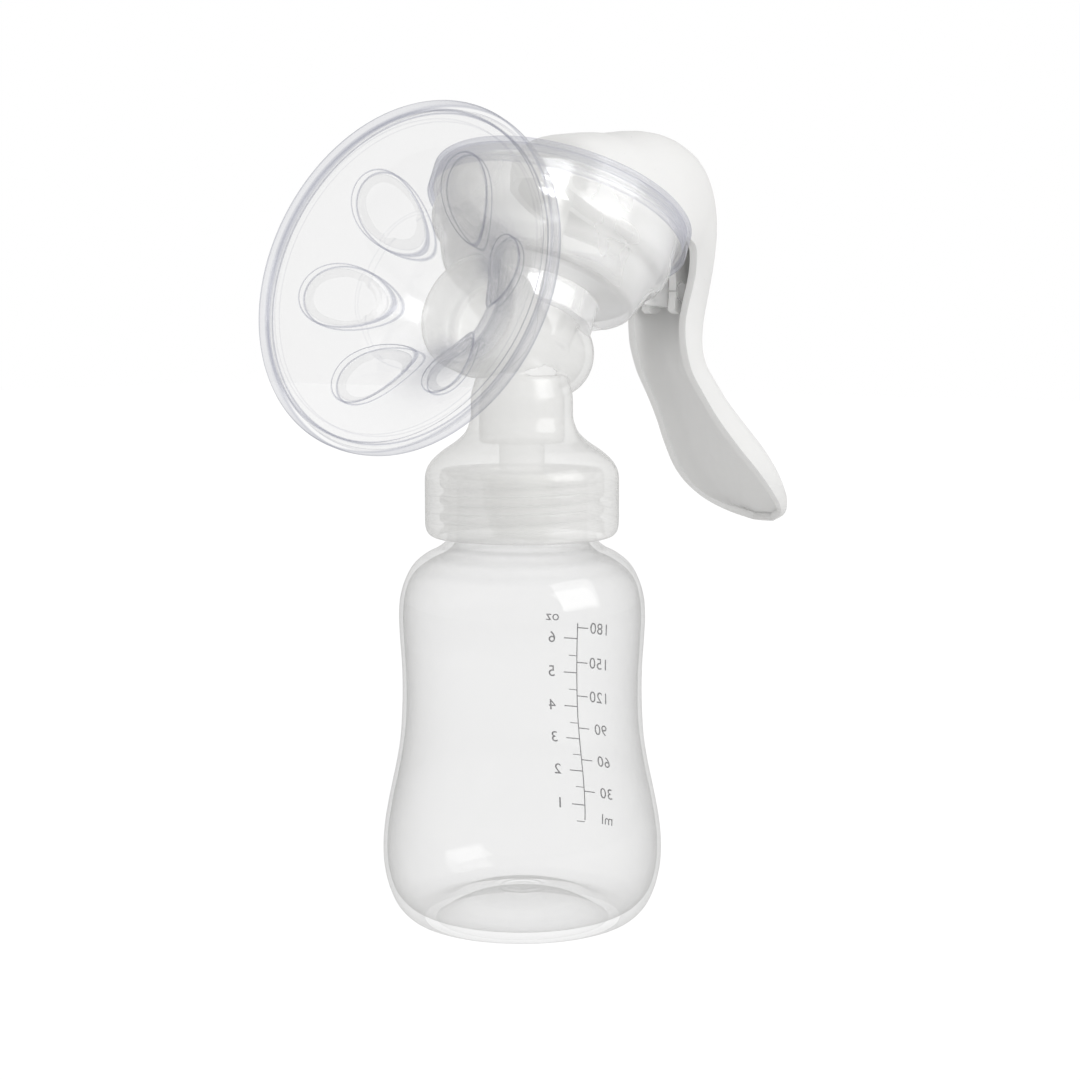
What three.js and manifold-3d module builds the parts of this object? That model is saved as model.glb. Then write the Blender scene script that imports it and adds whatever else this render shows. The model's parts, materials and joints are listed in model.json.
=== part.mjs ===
// Manual breast pump: a feeding bottle, a screw-on pump body, a pull-off horn with a
// massage cushion, and a diaphragm cup worked by a squeeze handle.
// Millimetres, +Z up.  The symmetry plane is x = 0, the horn faces -Y and the handle +Y.
import * as THREE from "three";
import { mergeVertices } from "three/addons/utils/BufferGeometryUtils.js";
import Module from "manifold-3d";

const wasm = await Module();
wasm.setup();

// ---- driving dimensions -------------------------------------------------------------
const DEG = Math.PI / 180;
const ROUND = 32; // segments round a large turned piece
const SMALL = 22; // segments round a small turned piece
const GAP = 0.3; // clearance between pieces that touch

const BOTTLE_AXIS_Y = -28.5; // puts the middle of the whole pump's box on x = y = 0
const BELLY_R = 32.4; // the bottle's widest radius
const WAIST_R = 27.7; // the bottle's grip waist
const BOTTLE_WALL = 1.5;
const FOOT_R = 22.8; // outer radius of the flat ring that the bottle stands on
const FOOT_IN_R = 20.2;
const MOUTH_Z = 103; // top of the bottle's mouth
const NECK_OUT_R = 17.0;
const NECK_IN_R = 15.0;

const PITCH = 4; // thread pitch of bottle and collar
const THREAD_TURNS = 1.6;
const THREAD_RISE = 1.2; // height of each thread ridge
const THREAD_WIDTH = 1.5;
const BOTTLE_THREAD_Z = 91.6;

const COLLAR_R = 22.3;
const COLLAR_BORE = 18.9;
const COLLAR_Z = 89.4; // lower edge of the collar
const ROOF_Z = 105.1; // flat roof inside the collar, above the gasket
const NECK_R = 11.7; // the neck tube above the collar
const NECK_BORE = 9.8;
const SPIGOT_R = 7.2; // the spout under the neck that carries the valve
const SPIGOT_BORE = 5.2;
const VALVE_BORE = 7.5;
const VALVE_TOP = 103.6;

const HUB_Z = 134.5; // where the horn axis meets the bottle axis
const HORN_TILT = 18; // the horn looks up by this angle, degrees
const HORN_MOUTH_R = 37.6;
const CUSHION_R = 39.1; // the widest piece of the pump
const CUSHION_BORE = 8.5;
const TUBE_R = 10.6; // the horn tube and its domed end
const TUBE_BORE = 8.6;
const DOME_BACK = 10.9; // the dome's centre, behind the bottle axis
const SOCKET_R = 13.2; // the socket that the horn plugs into
const SOCKET_BORE = 11.9;
const SOCKET_FROM = 12.5; // the socket's two ends, along the horn axis
const SOCKET_TO = 21;

const PETALS = 6;
const PETAL_SIZE = [6.2, 10.4, 1.9]; // half width, half length and height
const PETAL_R = 21.2; // distance of a petal's middle from the horn axis
const PETAL_T = 37.9; // its place along the horn axis
const PETAL_LEAN = 48; // the cone's slope at the petals, degrees from the horn axis
const PETAL_TURN = -23; // the first petal's turn about the horn axis, degrees

const CUP_Z = 133.5; // where the cup axis meets the bottle axis
const CUP_TILT = 26; // the cup leans back by this angle, degrees
const STUB_R = 11.3; // the stub that the cup plugs onto
const STUB_BORE = 8.6;
const STUB_BORE_LOW = 7.6;
const STUB_TOP = 17.4;
const SEAL_Z = 15.0; // the O-ring's height along the cup axis
const SEAL_GROOVE_R = 9.5;
const SEAL_GROOVE_HALF = 1.3;
const CUP_R = 28.5;
const CUP_BORE = 11.7; // the cup's socket for the stub
const RIM_R = 31; // the clamp ring's outer radius
const RIM_TOP = 36.3; // the clamp ring's top, along the cup axis
const BAR_Z = 44.5; // the rod's cross bar, along the cup axis
const BAR_R = 2.3;
const BAR_HALF = 6.5;
const BAR_LEAN = 16.6; // the handle's slot for the bar leans forwards, degrees

const PIVOT_Y = 60; // the handle's pivot, from the bottle axis
const PIVOT_Z = 146;
const PIVOT_R = 2.4;
const RIB_IN = 2.9; // inner face of each rib inside the handle
const RIB_OUT = 4.9;
const HANDLE_WALL = 1.9;

// ---- geometry helpers ---------------------------------------------------------------
// A closed three.js geometry as a manifold solid with its faces outwards.
function solid(geometry) {
  const bare = geometry.index ? geometry.toNonIndexed() : geometry.clone();
  for (const name of Object.keys(bare.attributes)) {
    if (name !== "position") bare.deleteAttribute(name);
  }
  const merged = mergeVertices(bare, 1e-4);
  const place = merged.attributes.position.array;
  const corner = (i) => new THREE.Vector3().fromArray(place, 3 * i);
  const faces = [];
  let volume = 0;
  for (let i = 0; i < merged.index.count; i += 3) {
    const [a, b, c] = merged.index.array.slice(i, i + 3);
    if (a === b || b === c || c === a) continue;
    faces.push([a, b, c]);
    volume += corner(a).dot(corner(b).cross(corner(c)));
  }
  const outward = volume > 0 ? faces : faces.map(([a, b, c]) => [a, c, b]);
  const triVerts = new Uint32Array(outward.flat());
  return new wasm.Manifold(new wasm.Mesh({ numProp: 3, vertProperties: place, triVerts }));
}

// A turned solid about +Z from a profile of [radius, z] points, closed on itself.
function turned(profile, segments = ROUND) {
  const points = profile.map(([r, z]) => new THREE.Vector2(r, z));
  if (profile[0][0] > 0) points.push(points[0].clone());
  return solid(new THREE.LatheGeometry(points, segments).rotateX(Math.PI / 2));
}

// A plain rod along +Z.
function rod(radius, from, to, segments = SMALL) {
  return turned([[0, from], [radius, from], [radius, to], [0, to]], segments);
}

// A closed skin through rings of equally many points, with its two ends filled.
function loft(rings) {
  const count = rings[0].length;
  const points = rings.flat();
  const index = [];
  for (let i = 0; i + 1 < rings.length; i++) {
    for (let j = 0; j < count; j++) {
      const a = i * count + j;
      const b = i * count + ((j + 1) % count);
      index.push(a, b, b + count, a, b + count, a + count);
    }
  }
  for (const [first, turn] of [[0, 1], [(rings.length - 1) * count, 0]]) {
    const middle = new THREE.Vector3();
    for (let j = 0; j < count; j++) middle.addScaledVector(points[first + j], 1 / count);
    points.push(middle);
    for (let j = 0; j < count; j++) {
      const a = first + j;
      const b = first + ((j + 1) % count);
      index.push(...(turn ? [b, a] : [a, b]), points.length - 1);
    }
  }
  const geometry = new THREE.BufferGeometry().setFromPoints(points);
  geometry.setIndex(index);
  return solid(geometry);
}

// A plate standing in the y-z plane, from x = -half to x = half.
function plate(outline, half, holes = []) {
  const shape = new THREE.Shape(outline.map(([y, z]) => new THREE.Vector2(y, z)));
  for (const [y, z, r] of holes) {
    shape.holes.push(new THREE.Path().absarc(y, z, r, 0, 2 * Math.PI, true));
  }
  const options = { depth: 2 * half, bevelEnabled: false, curveSegments: 12 };
  const flat = new THREE.ExtrudeGeometry(shape, options).translate(0, 0, -half);
  return solid(flat.rotateY(Math.PI / 2).rotateX(Math.PI / 2));
}

// A helical ridge of trapezoid section, which rises with a right-hand thread.
function ridge(root, crest, fromZ) {
  const steps = Math.round(THREAD_TURNS * 24);
  const rings = [];
  for (let i = 0; i <= steps; i++) {
    const angle = (i / steps) * THREAD_TURNS * 2 * Math.PI;
    const fade = Math.min(1, i / 3, (steps - i) / 3);
    const top = root + (crest - root) * (0.15 + 0.85 * fade);
    const z = fromZ + (PITCH * angle) / (2 * Math.PI);
    const half = THREAD_WIDTH / 2;
    const section = [[root, z - half], [top, z - half / 2], [top, z + half / 2], [root, z + half]];
    rings.push(section.map(([r, h]) => (
      new THREE.Vector3(r * Math.cos(angle), r * Math.sin(angle), h)
    )));
  }
  return loft(rings);
}

function plastic(colour, roughness, opacity = 1) {
  const clear = opacity < 1;
  return new THREE.MeshStandardMaterial({
    color: colour, roughness, metalness: 0, opacity, transparent: clear,
  });
}

function piece(name, body, material) {
  const made = body.getMesh();
  const geometry = new THREE.BufferGeometry();
  const points = new Float32Array(made.vertProperties);
  geometry.setAttribute("position", new THREE.BufferAttribute(points, 3));
  geometry.setIndex(new THREE.BufferAttribute(new Uint32Array(made.triVerts), 1));
  const mesh = new THREE.Mesh(geometry, material);
  mesh.name = name;
  return mesh;
}

const tilted = (body, angle) => body.rotate([angle, 0, 0]);
const alongHorn = (body) => tilted(body, 90 - HORN_TILT).translate([0, 0, HUB_Z]);
const alongCup = (body) => tilted(body, -CUP_TILT).translate([0, 0, CUP_Z]);

// The place in the y-z plane of a point given in the cup's own frame.
function cupPoint(y, z) {
  const c = Math.cos(CUP_TILT * DEG);
  const s = Math.sin(CUP_TILT * DEG);
  return [y * c + z * s, CUP_Z - y * s + z * c];
}

// ---- materials ----------------------------------------------------------------------
const clearPlastic = plastic(0xe9ebee, 0.08, 0.35);
const milkyPlastic = plastic(0xdcdee0, 0.3, 0.7);
const clearSilicone = plastic(0xe4e6f2, 0.12, 0.4);
const milkySilicone = plastic(0xe8e8e4, 0.45, 0.75);
const whitePlastic = plastic(0xf4f4f4, 0.3);

// ---- bottle -------------------------------------------------------------------------
function bottle() {
  const outside = [
    [FOOT_IN_R, 0], [FOOT_R, 0], [26.2, 1.1], [28.9, 3.6], [30.9, 7.6], [32.1, 12.5], [BELLY_R, 17.5],
    [32.0, 22.7], [31.2, 27.5], [30.2, 32.3], [29.2, 37], [28.3, 42.5], [27.9, 47.5], [WAIST_R, 53.5],
    [27.8, 60], [28.2, 66], [28.4, 71], [28.1, 75.5], [26.9, 79.6], [25.0, 83], [22.2, 85.4],
    [18.9, 87.2], [17.8, 88.4], [NECK_OUT_R, 90], [NECK_OUT_R, MOUTH_Z],
  ];
  const wall = BOTTLE_WALL;
  const inside = [
    [NECK_IN_R, MOUTH_Z], [NECK_IN_R, 88.6], [16.2, 86.4], [21.2, 83.9], [24.0, 81.4],
    [28.1 - wall, 75], [28.4 - wall, 71], [28.2 - wall, 66], [WAIST_R - wall, 56], [28.0 - wall, 45],
    [29.4 - wall, 36], [31.2 - wall, 27.5], [BELLY_R - wall, 17.5], [32.1 - wall, 12], [29.3, 8],
    [26.6, 4.4], [23.2, 2.4], [18.5, 3.8], [14, 6.4], [0, 7.4],
  ];
  const pushUp = [[0, 5.2], [12.5, 4.2], [18.2, 1.2]];
  const thread = ridge(NECK_OUT_R - 0.2, NECK_OUT_R + THREAD_RISE, BOTTLE_THREAD_Z);
  return turned([...inside.reverse(), ...outside.reverse(), ...pushUp.reverse()]).add(thread);
}

function bottleGasket() {
  const low = MOUTH_Z + GAP;
  const high = ROOF_Z - GAP;
  return turned([[13.2, low], [17.2, low], [17.2, high], [13.2, high]]);
}

// ---- pump body: collar, neck, horn tube and cup stub in one moulding -----------------
function pumpBody() {
  const shell = turned([
    [0, COLLAR_Z], [20.6, COLLAR_Z], [21.9, 90.5], [COLLAR_R, 92.2], [COLLAR_R, 103.6], [21.8, 105.4],
    [20.6, 107.2], [18.2, 109.3], [15.0, 111.4], [12.8, 113.5], [NECK_R, 116.6], [NECK_R, 122],
    [10.4, 126.5], [0, 127],
  ]);
  const tube = alongHorn(turned([
    [0, -DOME_BACK - TUBE_R], [4.1, -DOME_BACK - 9.8], [7.5, -DOME_BACK - 7.5], [9.8, -DOME_BACK - 4.1],
    [TUBE_R, -DOME_BACK], [TUBE_R, SOCKET_FROM - 2.5], [SOCKET_R, SOCKET_FROM],
    [SOCKET_R, SOCKET_TO], [0, SOCKET_TO],
  ]));
  const stub = alongCup(turned([
    [0, 0], [STUB_R, 0], [STUB_R, SEAL_Z - SEAL_GROOVE_HALF], [SEAL_GROOVE_R, SEAL_Z - SEAL_GROOVE_HALF],
    [SEAL_GROOVE_R, SEAL_Z + SEAL_GROOVE_HALF], [STUB_R, SEAL_Z + SEAL_GROOVE_HALF],
    [STUB_R, STUB_TOP], [0, STUB_TOP],
  ]));
  const hornBore = alongHorn(turned([
    [0, -DOME_BACK - TUBE_BORE], [6.1, -DOME_BACK - 6.1], [TUBE_BORE, -DOME_BACK],
    [TUBE_BORE, SOCKET_FROM], [SOCKET_BORE, SOCKET_FROM], [SOCKET_BORE, SOCKET_TO + 5], [0, SOCKET_TO + 5],
  ]));
  const stubBore = alongCup(rod(STUB_BORE, 9, STUB_TOP + 5).add(rod(STUB_BORE_LOW, 0, 10)));
  const neckBore = turned([[0, 111], [NECK_BORE, 111], [NECK_BORE, 121], [8.4, 126], [8.4, 130], [0, 130]]);
  const skirtBore = turned([
    [0, COLLAR_Z - 1], [COLLAR_BORE, COLLAR_Z - 1], [COLLAR_BORE, 103.8], [18.2, ROOF_Z], [0, ROOF_Z],
  ]);
  const spigotBore = rod(SPIGOT_BORE, 90, 118);
  const spigot = rod(SPIGOT_R, 98.2, 111.5);
  const thread = ridge(-COLLAR_BORE - 0.2, THREAD_RISE - COLLAR_BORE, BOTTLE_THREAD_Z);
  return shell.add(tube).add(stub).subtract(hornBore).subtract(stubBore).subtract(neckBore)
    .subtract(skirtBore).add(spigot).subtract(spigotBore).add(thread);
}

// ---- duckbill valve, pushed up over the spigot under the neck ------------------------
function duckbillValve() {
  const sleeve = turned([
    [VALVE_BORE, 98.4], [8.9, 98.0], [8.9, 101.8], [9.7, 102.2], [9.7, VALVE_TOP], [VALVE_BORE, VALVE_TOP],
  ], SMALL);
  const ring = (half, width, z) => {
    const points = [];
    for (let j = 0; j < SMALL; j++) {
      const angle = (j / SMALL) * 2 * Math.PI;
      points.push(new THREE.Vector3(half * Math.cos(angle), width * Math.sin(angle), z));
    }
    return points;
  };
  const beak = loft([
    ring(8.9, 8.9, 98.6), ring(8.9, 8.9, 97.6), ring(8.6, 5.4, 93), ring(8.2, 1.5, 88.8),
  ]);
  const hollow = loft([
    ring(VALVE_BORE, VALVE_BORE, 99), ring(7.4, 7.4, 97.4), ring(7.2, 4.1, 93), ring(6.8, 0.35, 88),
  ]);
  return sleeve.add(beak).subtract(hollow).subtract(rod(VALVE_BORE, 97.6, 100));
}

// ---- horn: the hard funnel that plugs into the body ---------------------------------
function horn() {
  return alongHorn(turned([
    [10.1, 12.9], [11.6, 12.9], [11.6, 21.4], [12.4, 23.2], [13.9, 25.6], [18, 31], [24.2, 36.6],
    [31.2, 40.4], [36.4, 42.0], [HORN_MOUTH_R, 42.4], [HORN_MOUTH_R, 43.4], [36.2, 43.4], [30.6, 41.7],
    [23.4, 37.8], [17.1, 32.1], [12.6, 26.0], [10.9, 22.3], [10.1, 19],
  ]));
}

// ---- massage cushion: a soft lining of the horn with six raised petals ----------------
function massageCushion() {
  const back = [
    [9.7, 14], [9.7, 19], [10.5, 22.5], [12.2, 26.4], [16.7, 32.5], [23.1, 38.3], [30.4, 42.2], [36.1, 43.8],
  ];
  const behind = turned([...back, [50, 43.8], [50, 14]]);
  let body = turned([
    [CUSHION_BORE, 14], ...back, [38.0, 43.8], [38.0, 42.1], [38.8, 42.1], [CUSHION_R, 43.6],
    [CUSHION_R, 45.0], [38.5, 46.0], [37.4, 46.1], [35.6, 45.3], [29.8, 43.6], [22.2, 39.6], [15.6, 33.6],
    [11.0, 27.0], [9.3, 22.8], [CUSHION_BORE, 19.4],
  ]);
  for (let i = 0; i < PETALS; i++) {
    const petal = solid(new THREE.SphereGeometry(1, 14, 8).scale(...PETAL_SIZE))
      .rotate([90 - PETAL_LEAN, 0, 0]).translate([0, PETAL_R, PETAL_T])
      .rotate([0, 0, PETAL_TURN + (360 / PETALS) * i]);
    body = body.add(petal.subtract(behind));
  }
  return alongHorn(body);
}

// ---- vacuum cup: socket, bowl and the fulcrum arm with the handle's trunnions ---------
function vacuumCup() {
  const bowl = alongCup(turned([
    [CUP_BORE, 6.6], [14.6, 6.6], [14.6, 12.9], [21.2, 13.5], [23.2, 15.4], [24.5, 18.4], [25.8, 21.4],
    [27.9, 23.2], [28.4, 25.4], [CUP_R, 33.3], [26.7, 33.3], [26.5, 25.6], [25.6, 24.4], [24.2, 22.4],
    [22.9, 18.6], [21.5, 16.1], [20.4, 15.4], [13.3, 15.3], [13.3, STUB_TOP], [CUP_BORE, STUB_TOP],
  ]));
  const low = cupPoint(27.4, 24.5);
  const high = cupPoint(27.4, 29.6);
  const bend = cupPoint(33.4, 29.4);
  const boss = [[-1.2, -4.2], [2.4, -3.4], [4, 0], [2.6, 3.2], [-1.6, 3.8]];
  const outline = [low, ...boss.map(([y, z]) => [PIVOT_Y + y, PIVOT_Z + z]), bend, high];
  const arm = plate(outline, 2.5);
  const pins = rod(PIVOT_R, -RIB_OUT - 0.4, RIB_OUT + 0.4, 24).rotate([0, 90, 0])
    .translate([0, PIVOT_Y, PIVOT_Z]);
  const tubeClear = TUBE_R + GAP + 0.1;
  const socketClear = SOCKET_R + GAP + 0.1;
  const saddle = alongHorn(turned([
    [0, -24], [tubeClear, -24], [tubeClear, SOCKET_FROM - 2.7], [socketClear, SOCKET_FROM - 0.2],
    [socketClear, 30], [0, 30],
  ]));
  return bowl.subtract(saddle).add(arm).add(pins);
}

function cupSeal() {
  return alongCup(solid(new THREE.TorusGeometry(10.7, 0.9, 8, ROUND).translate(0, 0, SEAL_Z)));
}

// ---- diaphragm, its clamp ring, and the rod that lifts it -----------------------------
function diaphragm() {
  return alongCup(turned([
    [2.4, 19.6], [22.0, 19.6], [23.1, 20.7], [24.3, 32.4], [24.6, 33.6], [28.8, 33.6], [28.8, 31],
    [29.8, 31], [29.8, 35], [24, 35], [23.1, 34.2], [21.9, 21.5], [21.2, 20.9], [2.4, 20.9],
  ]));
}

function clampRing() {
  return alongCup(turned([
    [30.1, 30.2], [RIM_R, 30.2], [RIM_R, RIM_TOP - 0.4], [RIM_R - 0.4, RIM_TOP], [26, RIM_TOP],
    [26, 35.3], [30.1, 35.3],
  ]));
}

function diaphragmRod() {
  const shaft = turned([
    [0, 15.8], [3.2, 15.8], [2.8, 17.2], [2, 17.3], [2, 21.2], [8, 21.2], [8, 22.4], [3.6, 24.4],
    [2.3, 27], [2.1, BAR_Z], [0, BAR_Z],
  ], SMALL);
  const bar = rod(BAR_R, -BAR_HALF, BAR_HALF, 20).rotate([0, 90, 0]).translate([0, 0, BAR_Z]);
  return alongCup(shaft.add(bar));
}

function rodRetainer() {
  return alongCup(turned([[2.4, 17.6], [7.4, 17.6], [8, 18.2], [8, 19.3], [2.4, 19.3]], SMALL));
}

// ---- handle: a hood over the cup that narrows into a hollow lever ---------------------
// Each station: [crown y, crown z, lip y, lip z, half width].
const STATIONS = [
  [8.6, 177.0, 9.4, 171.6, 8.5],
  [11.6, 180.4, 12.4, 169.9, 12.6],
  [20, 182.4, 20.6, 166.8, 16],
  [31, 183.0, 30, 163.2, 17.4],
  [43, 184.4, 38.5, 160.4, 17.4],
  [54.5, 183.2, 46, 158.4, 16.2],
  [64.5, 179.4, 51.5, 156.6, 14.4],
  [71.3, 173.2, 55, 154.0, 12.5],
  [74.8, 165, 57, 150.6, 11],
  [75.2, 156, 57.5, 146.6, 9.8],
  [73.6, 147, 57, 142.4, 8.9],
  [71.3, 139, 56.3, 137.6, 8.5],
  [70.6, 133.0, 57, 132.4, 8.4],
  [72.2, 128.6, 59.6, 126.6, 8.3],
  [75.9, 124.6, 64.4, 121.0, 8.6],
  [81.4, 119.2, 70.4, 114.4, 9.4],
  [88.6, 112.8, 77.6, 106.9, 11.2],
  [97.0, 105.4, 86, 99.4, 12.9],
  [104.4, 98, 93.6, 93.8, 12.6],
  [109.8, 91.4, 101, 89.4, 10.6],
  [112.3, 86.6, 106.8, 86.4, 7],
  [111.8, 84.4, 109.6, 84.8, 3],
];
const HALF_ARC = 10; // steps from one lip over the crown to the other

// The U-shaped section of one station, `inset` inside the outer skin and opened `open` past the lip.
function handleSection([crownY, crownZ, lipY, lipZ, width], inset, open) {
  const depth = Math.hypot(crownY - lipY, crownZ - lipZ);
  const [dy, dz] = [(crownY - lipY) / depth, (crownZ - lipZ) / depth];
  const ring = [];
  const at = (x, d) => ring.push(new THREE.Vector3(x, lipY + d * dy, lipZ + d * dz));
  const power = 2 / 2.7;
  for (let i = 0; i <= HALF_ARC; i++) {
    const angle = (i / HALF_ARC) * Math.PI;
    const across = Math.sign(Math.cos(angle)) * Math.abs(Math.cos(angle)) ** power;
    at((width - inset) * across, (depth - inset) * Math.sin(angle) ** power);
  }
  at(-(width - inset), -open);
  at(width - inset, -open);
  return ring;
}

function handle() {
  const outer = loft(STATIONS.map((station) => handleSection(station, 0, 0.001)));
  const hollow = loft(STATIONS.slice(1, -2).map((station) => handleSection(station, HANDLE_WALL, 4)));
  const [barY, barZ] = cupPoint(0, BAR_Z);
  const web = [
    [13, 180], [13, 169.6], [20.6, 166.6], [30, 163], [38.5, 160.2], [46, 158.2], [51.5, 156.4],
    [53.5, 150], [55.2, 143], [58, 140.4], [62, 140.6], [65.4, 144], [70, 150], [74.5, 160], [73, 170],
    [64, 178.6], [50, 183],
  ];
  const between = plate([[0, 120], [100, 120], [100, 200], [0, 200]], RIB_IN);
  const ribs = plate(web, RIB_OUT, [[PIVOT_Y, PIVOT_Z, PIVOT_R + 0.13]]).subtract(between);
  const slotHalf = BAR_R + GAP; // the cross bar slides forwards in the ribs as the handle turns
  const slotOutline = [[0, -slotHalf], [0, slotHalf], [-14, slotHalf], [-14, -slotHalf]];
  const slot = plate(slotOutline, RIB_OUT + 1)
    .add(rod(slotHalf, -RIB_OUT - 1, RIB_OUT + 1, 20).rotate([0, 90, 0]))
    .rotate([-BAR_LEAN, 0, 0]).translate([0, barY, barZ]);
  const inside = loft(STATIONS.slice(1, -1).map((station) => (
    handleSection(station, HANDLE_WALL / 2, 0.001)
  )));
  return outer.subtract(hollow).add(ribs.intersect(inside).subtract(slot));
}

// ---- assembly -----------------------------------------------------------------------
const pump = new THREE.Group();
pump.position.set(0, BOTTLE_AXIS_Y, 0);
pump.add(
  piece("bottle", bottle(), clearPlastic),
  piece("bottle_gasket", bottleGasket(), milkySilicone),
  piece("pump_body", pumpBody(), milkyPlastic),
  piece("duckbill_valve", duckbillValve(), milkySilicone),
  piece("horn", horn(), clearPlastic),
  piece("massage_cushion", massageCushion(), clearSilicone),
  piece("vacuum_cup", vacuumCup(), milkyPlastic),
  piece("cup_seal", cupSeal(), milkySilicone),
  piece("diaphragm", diaphragm(), milkySilicone),
  piece("clamp_ring", clampRing(), clearPlastic),
  piece("diaphragm_rod", diaphragmRod(), whitePlastic),
  piece("rod_retainer", rodRetainer(), whitePlastic),
  piece("handle", handle(), whitePlastic),
);

const assembly = new THREE.Group();
assembly.add(pump);

export default assembly;
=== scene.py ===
import json
import math

import bmesh
import bpy
import numpy as np
from mathutils import Matrix, Vector


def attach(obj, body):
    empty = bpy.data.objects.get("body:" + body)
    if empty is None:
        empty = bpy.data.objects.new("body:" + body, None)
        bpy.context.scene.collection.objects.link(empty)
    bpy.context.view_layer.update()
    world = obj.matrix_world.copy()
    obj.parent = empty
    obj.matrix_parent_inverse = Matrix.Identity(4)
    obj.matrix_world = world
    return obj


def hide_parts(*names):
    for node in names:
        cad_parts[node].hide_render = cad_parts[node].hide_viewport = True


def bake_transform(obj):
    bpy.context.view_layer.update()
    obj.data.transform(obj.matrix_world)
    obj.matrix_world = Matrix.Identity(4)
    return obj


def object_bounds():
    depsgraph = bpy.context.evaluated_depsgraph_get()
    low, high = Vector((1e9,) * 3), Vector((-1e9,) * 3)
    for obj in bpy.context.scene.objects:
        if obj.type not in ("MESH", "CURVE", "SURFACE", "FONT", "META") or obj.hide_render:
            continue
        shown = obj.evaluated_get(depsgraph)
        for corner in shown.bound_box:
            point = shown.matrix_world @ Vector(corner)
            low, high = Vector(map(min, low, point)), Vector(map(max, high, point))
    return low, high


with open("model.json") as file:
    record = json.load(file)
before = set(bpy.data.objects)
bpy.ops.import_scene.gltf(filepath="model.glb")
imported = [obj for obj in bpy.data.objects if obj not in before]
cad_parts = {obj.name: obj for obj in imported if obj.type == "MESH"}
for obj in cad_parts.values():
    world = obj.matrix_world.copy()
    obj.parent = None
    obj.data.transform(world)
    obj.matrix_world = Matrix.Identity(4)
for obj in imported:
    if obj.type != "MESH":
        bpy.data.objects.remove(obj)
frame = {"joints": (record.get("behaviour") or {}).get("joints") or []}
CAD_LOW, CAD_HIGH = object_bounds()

MM = 0.001
ROUND = 192  # segments round a large turned piece
SMALL = 96  # segments round a small one

PITCH = 4.0  # screw thread of bottle and collar
THREAD_RISE = 1.1
THREAD_HALF = 0.95  # half the width of a ridge at its foot
THREAD_FLANK = 0.35
THREAD_FROM = 91.6
NECK_TURNS = 2.2
BORE_TURNS = 2.6

HUB_Z = 134.5  # where the horn axis meets the bottle axis
CUP_Z = 133.5  # where the cup axis meets the bottle axis
HORN_TILT = 18.0
CUP_TILT = 26.0
TUBE_R = 10.6  # the horn tube behind its socket
SOCKET_R = 13.2
DOME_BACK = 10.9  # middle of the tube's domed end, behind the bottle axis along the horn axis
PIVOT = (60.0, 146.0)  # the handle's pivot: distance behind the bottle axis, height
BAR_Z = 44.5  # the rod's cross bar, along the cup axis
BAR_LEAN = 16.6  # how far the handle's slot for that bar leans back, in degrees

SETTINGS = bpy.context.scene


# ---- where things are ----------------------------------------------------------------
def joint(name):
    return next(j for j in frame["joints"] if j["name"] == name)


BOTTLE_AXIS_Y = joint("collar_turn")["pos_m"][1]
IN_FRAME = Matrix.Translation((0, BOTTLE_AXIS_Y, 0)) @ Matrix.Scale(MM, 4)
IN_HORN = IN_FRAME @ Matrix.Translation((0, 0, HUB_Z)) @ Matrix.Rotation(
    math.radians(90 - HORN_TILT), 4, "X")
IN_CUP = IN_FRAME @ Matrix.Translation((0, 0, CUP_Z)) @ Matrix.Rotation(
    math.radians(-CUP_TILT), 4, "X")


# ---- camera, light and floor ----------------------------------------------------------
CAMERA_PLACE = (0.28735, -0.41453, 0.13912)
CAMERA_TURN = 36.17  # degrees to the right of the front
CAMERA_DROP = 6.0
LENS = 70.0
SENSOR = 36


def make_camera():
    data = bpy.data.cameras.new("camera")
    data.lens = LENS
    data.sensor_width = SENSOR
    camera = bpy.data.objects.new("camera", data)
    camera.location = CAMERA_PLACE
    camera.rotation_euler = (math.radians(90 - CAMERA_DROP), 0, math.radians(CAMERA_TURN))
    SETTINGS.collection.objects.link(camera)
    SETTINGS.camera = camera


def softbox(name, azimuth, elevation, distance, size, power):
    """A soft rectangular light that looks at the middle of the pump."""
    a = math.radians(azimuth)
    e = math.radians(elevation)
    middle = (CAD_LOW + CAD_HIGH) / 2
    away = Vector((math.sin(a) * math.cos(e), -math.cos(a) * math.cos(e), math.sin(e)))
    data = bpy.data.lights.new(name, "AREA")
    data.shape = "RECTANGLE"
    data.size, data.size_y = size
    data.energy = power
    lamp = bpy.data.objects.new(name, data)
    lamp.location = middle + away * distance
    lamp.rotation_euler = away.to_track_quat("Z", "Y").to_euler()
    SETTINGS.collection.objects.link(lamp)
    return lamp


def make_studio():
    world = bpy.data.worlds.new("studio")
    world.use_nodes = True
    SETTINGS.world = world
    nodes = world.node_tree.nodes
    links = world.node_tree.links
    nodes.clear()
    out = nodes.new("ShaderNodeOutputWorld")
    seen = nodes.new("ShaderNodeBackground")
    seen.inputs["Color"].default_value = (1, 1, 1, 1)
    around = nodes.new("ShaderNodeBackground")
    around.inputs["Color"].default_value = (1, 0.995, 0.985, 1)
    around.inputs["Strength"].default_value = 0.72
    path = nodes.new("ShaderNodeLightPath")
    mix = nodes.new("ShaderNodeMixShader")
    links.new(path.outputs["Is Camera Ray"], mix.inputs[0])
    links.new(around.outputs[0], mix.inputs[1])
    links.new(seen.outputs[0], mix.inputs[2])
    links.new(mix.outputs[0], out.inputs["Surface"])
    softbox("key_softbox", 92, 28, 0.62, (0.44, 0.42), 1.35)
    softbox("top_softbox", 150, 78, 0.70, (0.50, 0.50), 0.20)
    SETTINGS.view_settings.view_transform = "Standard"
    SETTINGS.cycles.transparent_max_bounces = 64
    SETTINGS.cycles.max_bounces = 10


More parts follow.
